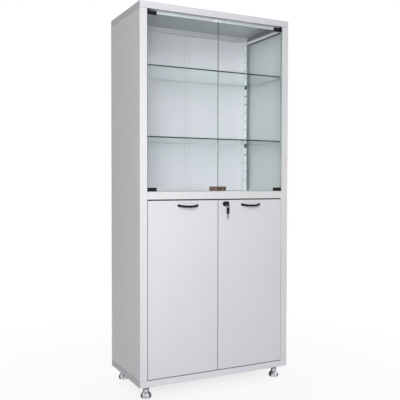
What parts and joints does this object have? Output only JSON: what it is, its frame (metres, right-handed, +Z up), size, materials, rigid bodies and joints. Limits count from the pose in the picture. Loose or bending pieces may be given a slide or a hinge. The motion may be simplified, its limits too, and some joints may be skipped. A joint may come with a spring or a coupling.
{
  "type": "medical cabinet",
  "caption": "White steel medical cabinet with a glazed upper section on glass shelves, a lockable lower section with steel doors, and chrome levelling feet.",
  "frame": {"origin": "centre of the whole part's plan outline, on the floor under the feet", "axes": "+X to the right seen from the front, +Y to the back, +Z up"},
  "size_m": [0.8, 0.441, 1.81],
  "materials": {
    "white_paint": "satin",
    "door_glass": "gloss",
    "shelf_glass": "gloss",
    "black_paint": "satin",
    "black_plastic": "matte",
    "chrome": "polished",
    "bright_steel": "satin",
    "dark_nickel": "satin",
    "white_plastic": "satin"
  },
  "bodies": {
    "carcass": {"roof": "white_paint", "base": "white_paint", "left_side_panel": "white_paint", "right_side_panel": "white_paint", "back_panel_left": "white_paint", "back_panel_right": "white_paint", "back_seam_strip": "white_paint", "middle_deck": "white_paint", "roof_rails": "white_paint", "panel_bolts": "bright_steel", "upper_glass_shelf": "shelf_glass", "lower_glass_shelf": "shelf_glass", "steel_shelf": "white_paint", "upper_shelf_clips": "black_plastic", "lower_shelf_clips": "black_plastic", "steel_shelf_clips": "black_plastic", "foot_sleeves": "chrome", "glass_pivot_bushes": "black_plastic", "door_pivot_bushes": "black_plastic", "glass_door_catch": "white_plastic"},
    "left_glass_door": {"left_glass_pane": "door_glass", "left_glass_top_hinge": "black_paint", "left_glass_bottom_hinge": "black_paint", "left_glass_pins": "bright_steel", "left_glass_screws": "bright_steel", "glass_strike": "dark_nickel"},
    "right_glass_door": {"right_glass_pane": "door_glass", "right_glass_top_hinge": "black_paint", "right_glass_bottom_hinge": "black_paint", "right_glass_pins": "bright_steel", "right_glass_screws": "bright_steel", "glass_lock_body": "dark_nickel", "glass_lock_screw": "dark_nickel"},
    "glass_lock": {"glass_lock_plug": "dark_nickel", "glass_lock_cam": "bright_steel"},
    "left_door": {"left_steel_door": "white_paint", "left_door_stiffener": "white_paint", "left_pivot_blocks": "bright_steel", "left_handle": "black_paint", "left_handle_screws": "bright_steel"},
    "right_door": {"right_steel_door": "white_paint", "right_door_stiffener": "white_paint", "right_pivot_blocks": "bright_steel", "right_handle": "black_paint", "right_handle_screws": "bright_steel", "lock_barrel": "black_paint", "lock_nut": "bright_steel"},
    "door_lock": {"lock_plug": "dark_nickel", "lock_cam": "bright_steel"},
    "key": {"key_blade": "bright_steel", "key_head": "black_plastic"},
    "ring": {"key_ring": "bright_steel"},
    "spare_key": {"spare_key_head": "black_plastic", "spare_key_blade": "bright_steel"},
    "front_left_foot": {"front_left_foot": "chrome"},
    "front_right_foot": {"front_right_foot": "chrome"},
    "rear_left_foot": {"rear_left_foot": "chrome"},
    "rear_right_foot": {"rear_right_foot": "chrome"}
  },
  "joints": [
    {"name": "left_glass_door_swing", "type": "hinge", "parent": "carcass", "child": "left_glass_door", "pos_m": [-0.355, -0.1735, 0.956], "axis": [0, 0, -1], "range_deg": [0, 105]},
    {"name": "right_glass_door_swing", "type": "hinge", "parent": "carcass", "child": "right_glass_door", "pos_m": [0.355, -0.1735, 0.956], "axis": [0, 0, 1], "range_deg": [0, 105]},
    {"name": "glass_lock_turn", "type": "hinge", "parent": "right_glass_door", "child": "glass_lock", "pos_m": [0.0115, -0.1795, 0.9685], "axis": [0, -1, 0], "range_deg": [0, 180]},
    {"name": "left_door_swing", "type": "hinge", "parent": "carcass", "child": "left_door", "pos_m": [-0.352, -0.1735, 0.0935], "axis": [0, 0, -1], "range_deg": [0, 110]},
    {"name": "right_door_swing", "type": "hinge", "parent": "carcass", "child": "right_door", "pos_m": [0.352, -0.1735, 0.0935], "axis": [0, 0, 1], "range_deg": [0, 110]},
    {"name": "door_lock_turn", "type": "hinge", "parent": "right_door", "child": "door_lock", "pos_m": [0.037, -0.1795, 0.895], "axis": [0, -1, 0], "range_deg": [0, 90]},
    {"name": "key_slide", "type": "slide", "parent": "door_lock", "child": "key", "axis": [0, -1, 0], "range_m": [0, 0.024]},
    {"name": "ring_swing", "type": "hinge", "parent": "key", "child": "ring", "pos_m": [0.037, -0.2105, 0.895], "axis": [-1, 0, 0], "range_deg": [-10, 70]},
    {"name": "spare_key_swing", "type": "hinge", "parent": "ring", "child": "spare_key", "pos_m": [0.037, -0.2105, 0.87422], "axis": [-1, 0, 0], "range_deg": [-12, 35]},
    {"name": "front_left_foot_level", "type": "slide", "parent": "carcass", "child": "front_left_foot", "axis": [0, 0, -1], "range_m": [0, 0.015]},
    {"name": "front_right_foot_level", "type": "slide", "parent": "carcass", "child": "front_right_foot", "axis": [0, 0, -1], "range_m": [0, 0.015]},
    {"name": "rear_left_foot_level", "type": "slide", "parent": "carcass", "child": "rear_left_foot", "axis": [0, 0, -1], "range_m": [0, 0.015]},
    {"name": "rear_right_foot_level", "type": "slide", "parent": "carcass", "child": "rear_right_foot", "axis": [0, 0, -1], "range_m": [0, 0.015]}
  ]
}
